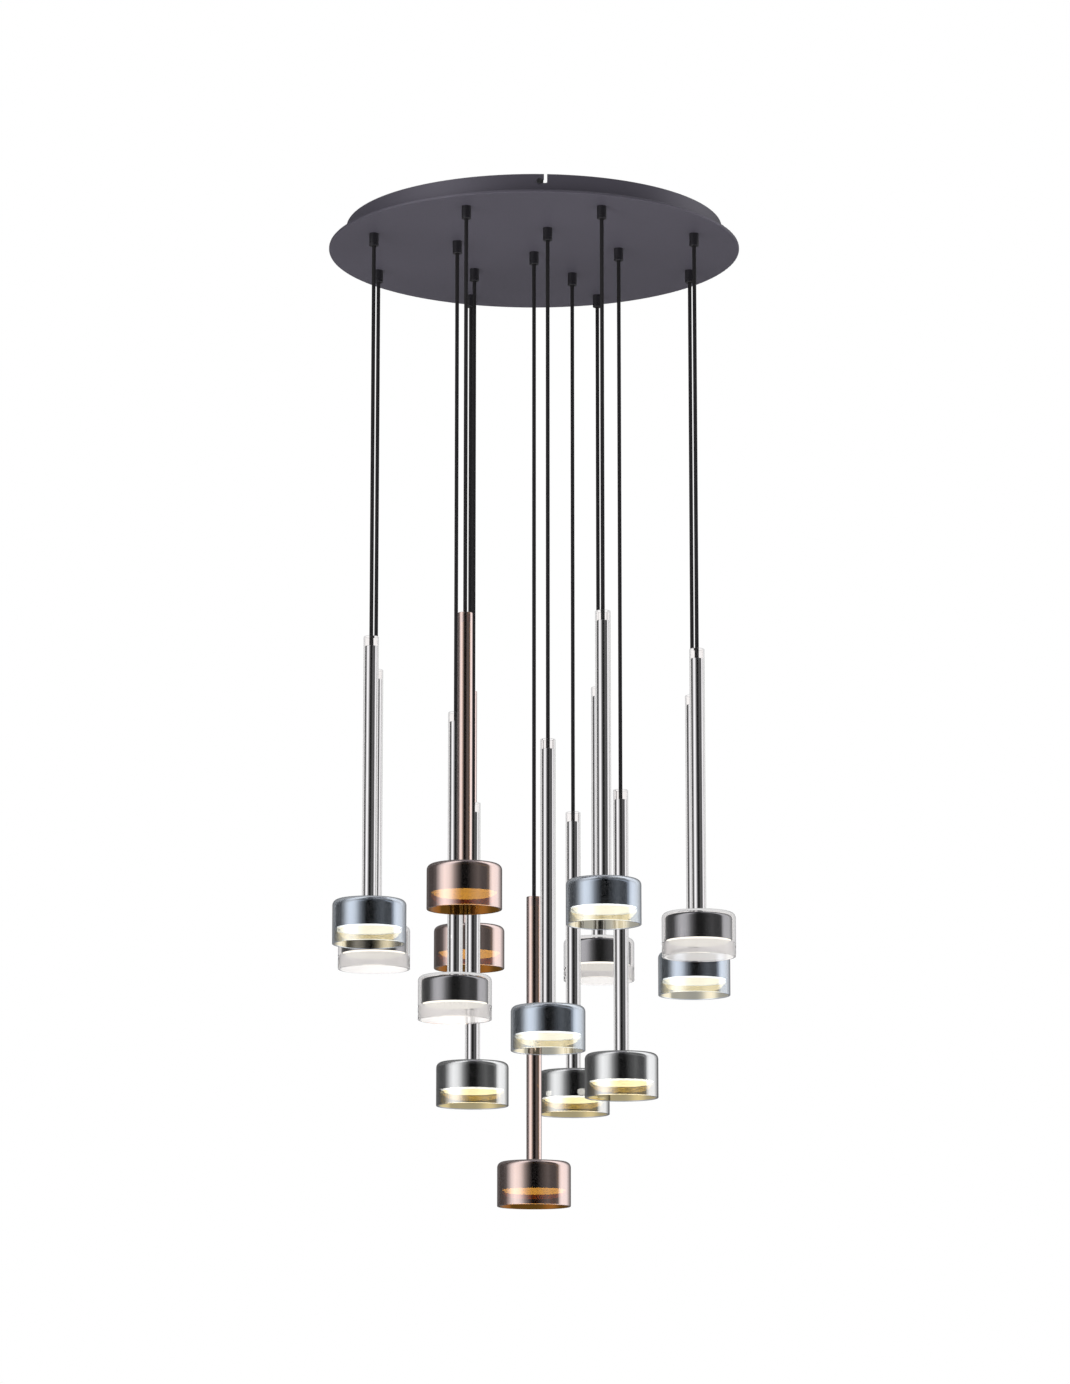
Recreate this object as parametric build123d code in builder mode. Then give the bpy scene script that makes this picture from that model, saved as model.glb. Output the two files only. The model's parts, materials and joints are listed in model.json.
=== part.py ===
"""Cluster pendant: a round canopy with fourteen lamps, each on its own cord.

Millimetres, +Z up. The origin is the centre of the ceiling plane, which is the upper face of the
ceiling bracket, so everything hangs below Z = 0. -Y is the front.
"""
from build123d import *
from math import cos, degrees, radians, sin
import os

os.makedirs("parts", exist_ok=True)

# ---------------------------------------------------------------- canopy
plate_diameter = 600.0
plate_thickness = 4.0
plate_edge_radius = 1.2
ceiling_gap = 0.5            # hoop's upper edge to the ceiling
hoop_inset = 25.0            # hoop's outer face inside the plate's edge
hoop_height = 30.0
hoop_wall = 2.0
flange_width = 14.0
flange_thickness = 2.0
flange_screw_count = 12
flange_screw_angle = 11.0    # of the first one, degrees

# L-shaped slots in the hoop's upper edge, and the studs that they hang on
slot_count = 3
slot_angle = -86.6           # of the first one, degrees
slot_width = 4.6
slot_depth = 13.0
slot_leg = 9.0
stud_diameter = 4.0
stud_head_diameter = 7.5
stud_head_height = 1.8

# ceiling bracket
hub_diameter = 130.0
bracket_thickness = 3.0
arm_width = 20.0
arm_offset = 4.0             # sideways from the stud, which leaves the slot's entry open behind
tab_height = 20.0
tab_clearance = 1.0          # to the hoop's inner face
inlet_diameter = 30.0
ceiling_hole_diameter = 5.5
ceiling_hole_circle = 100.0
ceiling_hole_count = 4

# ---------------------------------------------------------------- layout of the cords
centre_drop = 1364.0         # from the ceiling to the upper face of the shade
ring_spacing = 125.0         # between the outer and the inner ring of cords
inner_ring_angle = -81.0     # of the first cord, degrees
inner_drops = [1158.0, 1213.0, 1224.0, 1214.0, 1107.0]
locknut_gap = 2.0            # outer ring's locknuts to the hoop's flange
outer_ring_angle = 22.5
outer_drops = [1054.0, 1016.0, 998.0, 1016.0, 1005.0, 975.0, 996.0, 1023.0]
short_sleeve_numbers = [9, 12]

# ---------------------------------------------------------------- cords and their glands
cord_diameter = 5.5
gland_diameter = 13.5
gland_length = 18.5
gland_edge_radius = 0.8
neck_diameter = 10.0
neck_end = 1.5               # thread that stands above the locknut
neck_clearance = 0.2
locknut_width = 14.0
locknut_height = 3.5
cord_clearance = 0.3         # cord to the gland's bore, and between its two lengths
pivot_inset = 2.0            # hinge point above the gland's mouth
mouth_chamfer = 1.0
grub_diameter = 3.0
grub_height = 10.0           # above the gland's mouth
grub_recess = 0.5
tail_bend = 7.0
tail_run = 22.0
connector_length = 20.0
connector_width = 13.0
connector_height = 8.0
connector_edge_radius = 1.5
button_recess = 1.0

# ---------------------------------------------------------------- supply parts in the canopy
driver_length = 96.0
driver_width = 50.0
driver_height = 20.0
driver_edge = 2.0
driver_inset = 63.0          # centre of each driver inside the outer ring of cords
ear_length = 12.0
ear_width = 16.0
ear_thickness = 3.0
screw_diameter = 4.0
screw_head_diameter = 7.5
screw_head_height = 2.2
screw_depth = 2.8            # into the plate, which it doesn't pass through
terminal_length = 36.0
terminal_width = 18.0
terminal_height = 11.5
terminal_offset = 31.0
pole_count = 3
pole_pitch = 11.0
pole_screw_diameter = 4.0
pole_screw_depth = 2.0
earth_place = (53.0, 27.0)
earth_length = 12.0
earth_nut_width = 7.0
earth_nut_height = 3.2
earth_washer_diameter = 9.0
earth_washer_thickness = 0.8

# ---------------------------------------------------------------- lamp, from the shade's upper face
shade_diameter = 104.0
shade_height = 63.0
shade_wall = 3.0
shoulder_radius = 8.0
rim_radius = 1.2
sleeve_diameter = 21.5
sleeve_wall = 1.8
long_sleeve = 374.0
short_sleeve = 350.0
stem_diameter = 17.0
stem_wall = 1.5
stem_inset = 14.0            # stem's upper end below the sleeve's
plug_height = 12.0
collar_diameter = 23.5
collar_height = 3.0
collar_edge_radius = 1.0
lamp_clearance = 0.15        # radial, between lamp pieces that slide together
washer_diameter = 30.0
washer_thickness = 1.0
cap_diameter = 94.0
cap_height = 36.0
cap_wall = 1.5
cap_shoulder = 6.0
nut_width = 24.0
nut_height = 4.0
stem_grip = 4.5              # length of stem in the heat sink
sink_thickness = 6.0
sink_boss_diameter = 26.0
fin_count = 10
fin_thickness = 1.5
fin_height = 10.0
board_diameter = 70.0
board_thickness = 1.6
led_count = 12
led_size = 3.0
led_height = 0.8
led_circle = 46.0
ring_height = 5.0            # part of the light's ring inside the cap
light_drop = 3.0             # the light's ring below the cap's mouth
light_diameter = 82.0
light_wall = 1.2
diffuser_thickness = 1.8

# ---------------------------------------------------------------- levels and radii that follow
hoop_top = -ceiling_gap
plate_top = hoop_top - hoop_height
plate_bottom = plate_top - plate_thickness
hoop_outer = plate_diameter / 2 - hoop_inset
hoop_inner = hoop_outer - hoop_wall
flange_top = plate_top + flange_thickness
flange_inner = hoop_inner - flange_width
flange_circle = hoop_inner - flange_width / 2
outer_ring_radius = flange_inner - locknut_gap - locknut_width / 2
inner_ring_radius = outer_ring_radius - ring_spacing
driver_radius = outer_ring_radius - driver_inset
tab_outer = hoop_inner - tab_clearance
tab_inner = tab_outer - bracket_thickness
stud_level = hoop_top - slot_depth + slot_width / 2
stud_angle = slot_angle - degrees(slot_leg / hoop_outer)
cord_radius = cord_diameter / 2
bore_radius = cord_radius + cord_clearance
gland_mouth = plate_bottom - gland_length
pivot_level = gland_mouth + pivot_inset
tail_start = pivot_level + cord_radius + cord_clearance
neck_top = plate_top + locknut_height + neck_end
tail_level = neck_top + tail_bend
stem_radius = stem_diameter / 2
cap_top = -shade_wall - washer_thickness
cap_mouth = cap_top - cap_height
cap_bore = cap_diameter / 2 - cap_wall - lamp_clearance
nut_top = cap_top - cap_wall
sink_top = nut_top - nut_height
ring_top = cap_mouth + ring_height
sink_plate_top = ring_top + sink_thickness
light_mouth = cap_mouth - light_drop
diffuser_diameter = light_diameter - 2 * light_wall
board_bottom = ring_top - board_thickness
stem_bottom = sink_top - stem_grip


def ring_of_cords(radius, first_angle, drops):
    """Return (x, y, angle, drop) of each cord on one ring."""
    step = 360 / len(drops)
    places = []
    for index, drop in enumerate(drops):
        angle = first_angle + index * step
        places.append((radius * cos(radians(angle)), radius * sin(radians(angle)), angle, drop))
    return places


cords = [(0.0, 0.0, 135.0, centre_drop)]
cords += ring_of_cords(inner_ring_radius, inner_ring_angle, inner_drops)
cords += ring_of_cords(outer_ring_radius, outer_ring_angle, outer_drops)
cord_points = [(x, y) for x, y, angle, drop in cords]


def save(part, name):
    """Label one finished piece and write it."""
    part.label = name
    export_step(part, f"parts/{name}.step")


def separate(pieces, place):
    """Return the pieces, moved to one place, as separate solids that may touch."""
    return Compound([solid.moved(place) for piece in pieces for solid in piece.solids()])


def screw_points():
    """Return the places of the driver screws, which stand in the drivers' ears."""
    reach = driver_length / 2 + ear_length / 2
    return [(side * driver_radius, end * reach) for side in (-1, 1) for end in (-1, 1)]


# ================================================================ canopy
with BuildPart() as canopy_plate:
    with BuildSketch(Plane.XY.offset(plate_bottom)):
        Circle(plate_diameter / 2)
        with Locations(*cord_points):
            Circle(neck_diameter / 2 + neck_clearance, mode=Mode.SUBTRACT)
    extrude(amount=plate_thickness)
    rim_edges = canopy_plate.edges().filter_by(GeomType.CIRCLE).sort_by(SortBy.RADIUS)[-2:]
    fillet(rim_edges, plate_edge_radius)
    with BuildSketch(Plane.XY.offset(plate_top)):
        with PolarLocations(flange_circle, flange_screw_count, flange_screw_angle):
            Circle(screw_diameter / 2)
        with Locations(*screw_points(), earth_place):
            Circle(screw_diameter / 2)
    extrude(amount=-screw_depth, mode=Mode.SUBTRACT)
save(canopy_plate.part, "canopy_plate")

with BuildPart() as canopy_hoop:
    with BuildSketch(Plane.XY.offset(plate_top)):
        Circle(hoop_outer)
        Circle(hoop_inner, mode=Mode.SUBTRACT)
    extrude(amount=hoop_height)
    with BuildSketch(Plane.XY.offset(plate_top)):
        Circle(hoop_outer)
        Circle(flange_inner, mode=Mode.SUBTRACT)
        with PolarLocations(flange_circle, flange_screw_count, flange_screw_angle):
            Circle(screw_diameter / 2, mode=Mode.SUBTRACT)
    extrude(amount=flange_thickness)
    slot_cut = 4 * hoop_wall
    with PolarLocations(hoop_outer, slot_count, slot_angle):
        with Locations((0, 0, (hoop_top + stud_level) / 2)):
            Box(slot_cut, slot_width, hoop_top - stud_level, mode=Mode.SUBTRACT)
        with Locations((0, 0, stud_level)):
            Cylinder(slot_width / 2, slot_cut, rotation=(0, 90, 0), mode=Mode.SUBTRACT)
        with Locations((0, -slot_leg / 2, stud_level)):
            Box(slot_cut, slot_leg, slot_width, mode=Mode.SUBTRACT)
        with Locations((0, -slot_leg, stud_level)):
            Cylinder(slot_width / 2, slot_cut, rotation=(0, 90, 0), mode=Mode.SUBTRACT)
save(canopy_hoop.part, "canopy_hoop")

with BuildPart() as ceiling_bracket:
    with BuildSketch(Plane.XY):
        Circle(hub_diameter / 2)
        Circle(inlet_diameter / 2, mode=Mode.SUBTRACT)
        with PolarLocations(ceiling_hole_circle / 2, ceiling_hole_count, 180 / ceiling_hole_count):
            Circle(ceiling_hole_diameter / 2, mode=Mode.SUBTRACT)
    extrude(amount=-bracket_thickness)
save(ceiling_bracket.part, "ceiling_bracket")

# three arms, butt welded to the bracket's edge, each with a tab that carries a stud
with BuildPart() as bracket_arms:
    with BuildSketch(Plane.XY):
        with PolarLocations(tab_outer / 2, slot_count, stud_angle):
            with Locations((0, -arm_offset)):
                Rectangle(tab_outer, arm_width)
        Circle(hub_diameter / 2, mode=Mode.SUBTRACT)
    extrude(amount=-bracket_thickness)
    with PolarLocations((tab_inner + tab_outer) / 2, slot_count, stud_angle):
        with Locations((0, -arm_offset, -tab_height / 2)):
            Box(bracket_thickness, arm_width, tab_height)
    with PolarLocations(tab_inner, slot_count, stud_angle):
        with Locations((0, 0, stud_level)):
            Cylinder(stud_diameter / 2, 4 * bracket_thickness, rotation=(0, 90, 0), mode=Mode.SUBTRACT)
save(bracket_arms.part, "bracket_arms")

with BuildPart() as bracket_studs:
    with PolarLocations(tab_inner, slot_count, stud_angle):
        with Locations((0, 0, stud_level)):
            Cylinder(
                stud_diameter / 2,
                hoop_outer - tab_inner,
                rotation=(0, 90, 0),
                align=(Align.CENTER, Align.CENTER, Align.MIN),
            )
    with PolarLocations(hoop_outer, slot_count, stud_angle):
        with Locations((0, 0, stud_level)):
            Cylinder(
                stud_head_diameter / 2,
                stud_head_height,
                rotation=(0, 90, 0),
                align=(Align.CENTER, Align.CENTER, Align.MIN),
            )
save(bracket_studs.part, "bracket_studs")


def screw_group(points, seat):
    """Return pan-head screws whose heads stand on the level seat and whose shanks end in the plate."""
    with BuildPart() as screws:
        with BuildSketch(Plane.XY.offset(seat)):
            with Locations(*points):
                Circle(screw_head_diameter / 2)
        extrude(amount=screw_head_height)
        with BuildSketch(Plane.XY.offset(plate_top - screw_depth)):
            with Locations(*points):
                Circle(screw_diameter / 2)
        extrude(amount=seat - plate_top + screw_depth)
    return screws.part


flange_angles = [flange_screw_angle + k * 360 / flange_screw_count for k in range(flange_screw_count)]
flange_points = [(flange_circle * cos(radians(a)), flange_circle * sin(radians(a))) for a in flange_angles]
save(screw_group(flange_points, flange_top), "flange_screws")

# ================================================================ glands, locknuts and clamped cord ends
with BuildPart() as gland:
    with BuildSketch(Plane.XY.offset(gland_mouth)):
        Circle(gland_diameter / 2)
    extrude(amount=gland_length)
    fillet(gland.edges().sort_by(Axis.Z)[0], gland_edge_radius)
    with BuildSketch(Plane.XY.offset(plate_bottom)):
        Circle(neck_diameter / 2)
    extrude(amount=neck_top - plate_bottom)
    with BuildSketch(Plane.XY.offset(gland_mouth)):
        Circle(bore_radius)
    extrude(amount=neck_top - gland_mouth, mode=Mode.SUBTRACT)
    mouth_edges = gland.edges().filter_by(GeomType.CIRCLE).group_by(Axis.Z)[0].sort_by(SortBy.RADIUS)
    chamfer(mouth_edges[0], mouth_chamfer)
    with Locations((0, -gland_diameter / 2, gland_mouth + grub_height)):
        Cylinder(grub_diameter / 2, gland_diameter, rotation=(90, 0, 0), mode=Mode.SUBTRACT)

with BuildPart() as locknut:
    with BuildSketch(Plane.XY.offset(plate_top)):
        RegularPolygon(locknut_width / 2, 6, major_radius=False)
        Circle(neck_diameter / 2, mode=Mode.SUBTRACT)
    extrude(amount=locknut_height)

with BuildPart() as grub_screw:
    with Locations((0, -cord_radius, gland_mouth + grub_height)):
        Cylinder(
            grub_diameter / 2,
            gland_diameter / 2 - grub_recess - cord_radius,
            rotation=(90, 0, 0),
            align=(Align.CENTER, Align.CENTER, Align.MIN),
        )

with BuildPart() as tail:
    with BuildLine(Plane.XZ) as tail_path:
        rise = Line((0, tail_start), (0, neck_top))
        bend = JernArc(start=rise @ 1, tangent=(0, 1), radius=tail_bend, arc_size=-90)
        Line(bend @ 1, bend @ 1 + Vector(tail_run, 0, 0))
    with BuildSketch(Plane.XY.offset(tail_start)):
        Circle(cord_radius)
    sweep(path=tail_path.line)

with BuildPart() as connector:
    with Locations((tail_bend + tail_run + connector_length / 2, 0, tail_level)):
        Box(connector_length, connector_width, connector_height)
    fillet(connector.edges().filter_by(Axis.X), connector_edge_radius)
    for side in (-1, 1):
        with BuildSketch(Plane.XY.offset(tail_level + connector_height / 2)):
            with Locations((tail_bend + tail_run + connector_length / 2, side * connector_width / 4)):
                SlotOverall(connector_length / 2, connector_width / 4)
        extrude(amount=-button_recess, mode=Mode.SUBTRACT)

# each clamped end bends towards the canopy's centre
cord_places = [Location((x, y, 0), (0, 0, angle + 180)) for x, y, angle, drop in cords]
upright_places = [Location((x, y, 0)) for x, y, angle, drop in cords]
groups = [
    (gland, "cord_glands", upright_places),
    (locknut, "gland_locknuts", upright_places),
    (grub_screw, "gland_grub_screws", upright_places),
    (tail, "cord_tails", cord_places),
    (connector, "lead_connectors", cord_places),
]
for piece, name, places in groups:
    with BuildPart() as group:
        with Locations(*places):
            add(piece.part)
    save(group.part, name)

# ================================================================ drivers, terminal block and earth stud
for number, side in enumerate((-1, 1), start=1):
    with BuildPart() as driver:
        with BuildSketch(Plane.XY.offset(plate_top)):
            with Locations((side * driver_radius, 0)):
                Rectangle(driver_width, driver_length)
        extrude(amount=driver_height)
        fillet(driver.edges().filter_by(Axis.Z), driver_edge)
        with BuildSketch(Plane.XY.offset(plate_top)):
            with Locations((side * driver_radius, 0)):
                Rectangle(ear_width, driver_length + 2 * ear_length)
        extrude(amount=ear_thickness)
        with BuildSketch(Plane.XY.offset(plate_top)):
            with Locations(*screw_points()):
                Circle(screw_diameter / 2)
        extrude(amount=ear_thickness, mode=Mode.SUBTRACT)
    save(driver.part, f"led_driver_{number}")
save(screw_group(screw_points(), plate_top + ear_thickness), "driver_screws")

terminal_bottom = -bracket_thickness - terminal_height
pole_points = [
    (x, terminal_offset + y)
    for x in [(pole - (pole_count - 1) / 2) * pole_pitch for pole in range(pole_count)]
    for y in (-terminal_width / 4, terminal_width / 4)
]
with BuildPart() as terminal_block:
    with BuildSketch(Plane.XY.offset(-bracket_thickness)):
        with Locations((0, terminal_offset)):
            Rectangle(terminal_length, terminal_width)
    extrude(amount=-terminal_height)
    with BuildSketch(Plane.XY.offset(terminal_bottom)):
        with Locations(*pole_points):
            Circle(pole_screw_diameter / 2)
    extrude(amount=pole_screw_depth, mode=Mode.SUBTRACT)
save(terminal_block.part, "terminal_block")

with BuildPart() as terminal_screws:
    with BuildSketch(Plane.XY.offset(terminal_bottom + pole_screw_depth)):
        with Locations(*pole_points):
            Circle(pole_screw_diameter / 2)
    extrude(amount=-pole_screw_depth / 2)
save(terminal_screws.part, "terminal_screws")

with BuildPart() as earth_stud:
    with BuildSketch(Plane.XY.offset(plate_top - screw_depth)):
        with Locations(earth_place):
            Circle(screw_diameter / 2)
    extrude(amount=screw_depth + earth_length)
save(earth_stud.part, "earth_stud")

with BuildPart() as earth_washer:
    with BuildSketch(Plane.XY.offset(plate_top)):
        with Locations(earth_place):
            Circle(earth_washer_diameter / 2)
            Circle(screw_diameter / 2, mode=Mode.SUBTRACT)
    extrude(amount=earth_washer_thickness)

with BuildPart() as earth_nut:
    with BuildSketch(Plane.XY.offset(plate_top + earth_washer_thickness)):
        with Locations(earth_place):
            RegularPolygon(earth_nut_width / 2, 6, major_radius=False)
            Circle(screw_diameter / 2, mode=Mode.SUBTRACT)
    extrude(amount=earth_nut_height)
save(separate([earth_washer.part, earth_nut.part], Location()), "earth_nut")

# ================================================================ one lamp, its shade's upper face at Z = 0
with BuildPart() as shade:
    with BuildSketch(Plane.XY.offset(-shade_height)):
        Circle(shade_diameter / 2)
    extrude(amount=shade_height)
    fillet(shade.edges().group_by(Axis.Z)[-1], shoulder_radius)
    offset(amount=-shade_wall, openings=shade.faces().sort_by(Axis.Z)[0])
    with BuildSketch(Plane.XY.offset(-shade_wall)):
        Circle(stem_radius + lamp_clearance)
    extrude(amount=shade_wall, mode=Mode.SUBTRACT)
    fillet(shade.edges().group_by(Axis.Z)[0], rim_radius)

with BuildPart() as collar:
    with BuildSketch():
        Circle(collar_diameter / 2)
    extrude(amount=collar_height)
    fillet(collar.edges().group_by(Axis.Z)[-1], collar_edge_radius)
    with BuildSketch():
        Circle(stem_radius)
    extrude(amount=collar_height, mode=Mode.SUBTRACT)

with BuildPart() as shade_washer:
    with BuildSketch(Plane.XY.offset(cap_top)):
        Circle(washer_diameter / 2)
        Circle(stem_radius, mode=Mode.SUBTRACT)
    extrude(amount=washer_thickness)

with BuildPart() as cap:
    with BuildSketch(Plane.XY.offset(cap_mouth)):
        Circle(cap_diameter / 2)
    extrude(amount=cap_height)
    fillet(cap.edges().group_by(Axis.Z)[-1], cap_shoulder)
    offset(amount=-cap_wall, openings=cap.faces().sort_by(Axis.Z)[0])
    with BuildSketch(Plane.XY.offset(cap_top - cap_wall)):
        Circle(stem_radius)
    extrude(amount=cap_wall, mode=Mode.SUBTRACT)

with BuildPart() as stem_nut:
    with BuildSketch(Plane.XY.offset(sink_top)):
        RegularPolygon(nut_width / 2, 6, major_radius=False)
        Circle(stem_radius, mode=Mode.SUBTRACT)
    extrude(amount=nut_height)

with BuildPart() as heat_sink:
    with BuildSketch(Plane.XY.offset(ring_top)):
        Circle(cap_bore)
    extrude(amount=sink_thickness)
    with BuildSketch(Plane.XY.offset(sink_plate_top)):
        with PolarLocations(cap_bore / 2, fin_count):
            Rectangle(cap_bore - cap_shoulder, fin_thickness)
    extrude(amount=fin_height)
    with BuildSketch(Plane.XY.offset(sink_plate_top)):
        Circle(sink_boss_diameter / 2)
    extrude(amount=sink_top - sink_plate_top)
    with BuildSketch(Plane.XY.offset(stem_bottom)):
        Circle(stem_radius)
    extrude(amount=stem_grip, mode=Mode.SUBTRACT)

with BuildPart() as led_board:
    with BuildSketch(Plane.XY.offset(board_bottom)):
        Circle(board_diameter / 2)
    extrude(amount=board_thickness)
    with BuildSketch(Plane.XY.offset(board_bottom)):
        with PolarLocations(led_circle / 2, led_count):
            Rectangle(led_size, led_size)
    extrude(amount=-led_height)

with BuildPart() as retaining_ring:
    with BuildSketch(Plane.XY.offset(cap_mouth)):
        Circle(cap_bore)
    extrude(amount=ring_height)
    with BuildSketch(Plane.XY.offset(light_mouth)):
        Circle(light_diameter / 2)
    extrude(amount=light_drop)
    with BuildSketch(Plane.XY.offset(light_mouth)):
        Circle(diffuser_diameter / 2)
    extrude(amount=ring_top - light_mouth, mode=Mode.SUBTRACT)

with BuildPart() as diffuser:
    with BuildSketch(Plane.XY.offset(light_mouth)):
        Circle(diffuser_diameter / 2)
    extrude(amount=diffuser_thickness)

lamp_head = [collar, shade_washer, cap, stem_nut, heat_sink, led_board, retaining_ring, diffuser]


def make_sleeve(length):
    """Return the glass sleeve, which stands on the collar around the stem."""
    with BuildPart() as sleeve:
        with BuildSketch(Plane.XY.offset(collar_height)):
            Circle(sleeve_diameter / 2)
            Circle(sleeve_diameter / 2 - sleeve_wall, mode=Mode.SUBTRACT)
        extrude(amount=length)
    return sleeve.part


def make_stem(top):
    """Return the stem tube, which ends at the level top."""
    with BuildPart() as stem:
        with BuildSketch(Plane.XY.offset(stem_bottom)):
            Circle(stem_radius)
            Circle(stem_radius - stem_wall, mode=Mode.SUBTRACT)
        extrude(amount=top - stem_bottom)
    return stem.part


def make_plug(top):
    """Return the plug in the stem's upper end, which grips the cord."""
    with BuildPart() as plug:
        with BuildSketch(Plane.XY.offset(top)):
            Circle(stem_radius - stem_wall)
        extrude(amount=-plug_height)
    return plug.part


def make_cord(x, y, end_level):
    """Return the hanging length of cord, whose rounded upper end is centred on its hinge point."""
    with BuildPart() as cord:
        with BuildSketch(Plane.XY.offset(end_level)):
            with Locations((x, y)):
                Circle(cord_radius)
        extrude(amount=pivot_level - end_level)
        with Locations((x, y, pivot_level)):
            Sphere(cord_radius)
    return cord.part


# ================================================================ the fourteen pendants
for number, (x, y, angle, drop) in enumerate(cords, start=1):
    sleeve_length = short_sleeve if number in short_sleeve_numbers else long_sleeve
    stem_top = collar_height + sleeve_length - stem_inset

    save(make_cord(x, y, stem_top - drop), f"cord_{number:02d}")

    with BuildPart() as glass:
        with Locations((x, y, -drop)):
            add(shade.part)
            add(make_sleeve(sleeve_length))
    save(glass.part, f"glass_{number:02d}")

    pieces = [piece.part for piece in lamp_head] + [make_stem(stem_top), make_plug(stem_top)]
    save(separate(pieces, Location((x, y, -drop))), f"lamp_{number:02d}")

print(f"cord bends: radius {tail_bend} mm at {tail_level} mm")
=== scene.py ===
"""Cluster pendant: the finish of its canopy, cords, glass, chrome and lights, and its studio.

All lengths are metres in the frame's own coordinates: +Z up, -Y the front, Z = 0 the ceiling.
"""
import json
import math
from types import SimpleNamespace

import bpy
import numpy as np
from mathutils import Euler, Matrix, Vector


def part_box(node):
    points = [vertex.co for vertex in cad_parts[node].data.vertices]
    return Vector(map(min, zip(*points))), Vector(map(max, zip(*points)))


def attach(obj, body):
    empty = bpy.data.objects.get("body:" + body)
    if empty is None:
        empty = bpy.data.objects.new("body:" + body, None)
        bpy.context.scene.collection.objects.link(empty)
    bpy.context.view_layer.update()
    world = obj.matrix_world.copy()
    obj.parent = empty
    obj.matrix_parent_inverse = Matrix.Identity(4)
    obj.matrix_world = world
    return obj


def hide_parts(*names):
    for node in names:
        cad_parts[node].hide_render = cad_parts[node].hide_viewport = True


bl_info = {
    "name": "Cluster Pendant",
    "version": (1, 0, 0),
    "blender": (4, 5, 0),
    "location": "View3D > Sidebar > Pendant",
    "description": "Dresses a cluster pendant with glass, chrome, paint and light, and sets up its studio",
    "category": "Object",
}

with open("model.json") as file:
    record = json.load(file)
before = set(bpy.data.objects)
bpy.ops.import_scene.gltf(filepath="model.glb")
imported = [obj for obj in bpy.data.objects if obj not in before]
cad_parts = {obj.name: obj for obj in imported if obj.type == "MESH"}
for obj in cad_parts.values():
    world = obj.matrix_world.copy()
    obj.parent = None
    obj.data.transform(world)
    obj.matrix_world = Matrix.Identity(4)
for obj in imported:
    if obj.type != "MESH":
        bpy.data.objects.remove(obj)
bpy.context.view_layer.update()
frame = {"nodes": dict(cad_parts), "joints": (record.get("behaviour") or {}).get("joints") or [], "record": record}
NODES = frame["nodes"]

LAMP_COUNT = 14
NUMBERS = [f"{number:02d}" for number in range(1, LAMP_COUNT + 1)]
SMOOTH_ANGLE = math.radians(32)
MERGE_STEPS = 1e7             # steps in a metre, vertices that fall on the same one become one
TINY = 1e-12                  # keeps a length from dividing by zero
ARC_GUARD = 0.06              # flat step beside each rounded corner, in radii
TOLERANCE = 0.00001           # between heights or radii that count as the same


# ---------------------------------------------------------------- coats on the glass
# share of the light that each vapour coat mirrors, from outside and from inside
COAT_MIRROR = {"blue": (0.42, 0.60), "smoke": (0.66, 0.45), "copper": (0.76, 0.76)}
COAT_AT_SIDES = {"blue": 0.75, "smoke": 1.0, "copper": 1.0}    # share from outside, seen edge on
COAT_GROWS = (0.25, 0.80)     # that share grows between these, from face on, 0, to edge on, 1
# seen through the glass above the light, where that differs from the tint below it
TINT_ABOVE = {"blue": (0.95, 0.97, 1.0), "smoke": (0.40, 0.40, 0.40)}
CLEAR_GLASS = {"IOR": 1.30, "Specular IOR Level": 0.35}
COATED_GLASS = {"IOR": 1.45, "Specular IOR Level": 0.1}


# ---------------------------------------------------------------- small sizes of the pieces
TUBE_FACES = 64               # around a sleeve, stem, collar or heat sink
SMALL_FACES = 48              # around a gland, washer or LED board
PLUG_FACES = 32
NUT_SIDES = 6
SLIDE = 0.00015               # radial clearance between pieces that slide together

GLAND_CLEARANCE = 0.0003      # around the cord
GLAND_NECK = 0.005            # radius through the canopy plate
GLAND_BEVEL = 0.0010          # of the bore, at its mouth
GLAND_EDGES = (0.0002, 0.0008, 0.0003)    # at the mouth's bore, the mouth's outside and the top
GROOVE_LEVEL = 0.0042         # above the gland's mouth
GROOVE_WIDTH = 0.0010
GROOVE_DEPTH = 0.0005
GROOVE_SLOPE = 0.0003         # height of its sloping sides
GROOVE_EDGE = 0.0001

SLEEVE_EDGES = (0.0002, 0.0008)     # at its foot and at its top
COLLAR_EDGES = (0.0003, 0.0010)     # at the shade and at the sleeve
STEM_EDGES = (0.0005, 0.0004)       # outside and inside of its top
PLUG_HEIGHT = 0.012
PLUG_DROPS = (0.0004, 0.0002)       # of its top below the stem's, at its rim and in its middle
WASHER_RADIUS = 0.015
WASHER_EDGE = 0.0003
CAP_EDGES = (0.0005, 0.0004)        # outside and inside of its mouth
NUT_HEIGHT = 0.004
NUT_CORNER = 0.024 / math.sqrt(3)
NUT_BORE = 1.16               # in radii of the stem
STEM_GRIP = 0.0045            # stem inside the heat sink
SINK_PLATE = 0.006
SINK_EDGE = 0.0004
BOSS_RADIUS = 0.013
FIN_COUNT = 10
FIN_SIZE = (0.0015, 0.010)    # thickness and height
BOARD = (0.035, 0.0016)       # radius and thickness
DIODE_COUNT = 12
DIODE_CIRCLE = 0.023
DIODE_SIZE = (0.003, 0.003, 0.0008)
RING_EDGES = (0.0004, 0.0006, 0.0003)     # inside and outside of its mouth, and its seat in the cap
DIFFUSER_INSET = 0.0002       # above the ring's mouth
DIFFUSER_TOP = 0.0018         # above the ring's mouth

LIT_PIECES = ("light_ring", "diffuser")   # the only pieces of a lamp that its own shade mirrors
OWN_WALL = 0.075              # the longest way from a shade's wall to a light that shows in it
WARM_LIGHT = 1.75             # how much brighter the light is behind blue glass
STRONG_LIGHT = 4.4            # how much brighter the light is behind smoke and copper glass


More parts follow.
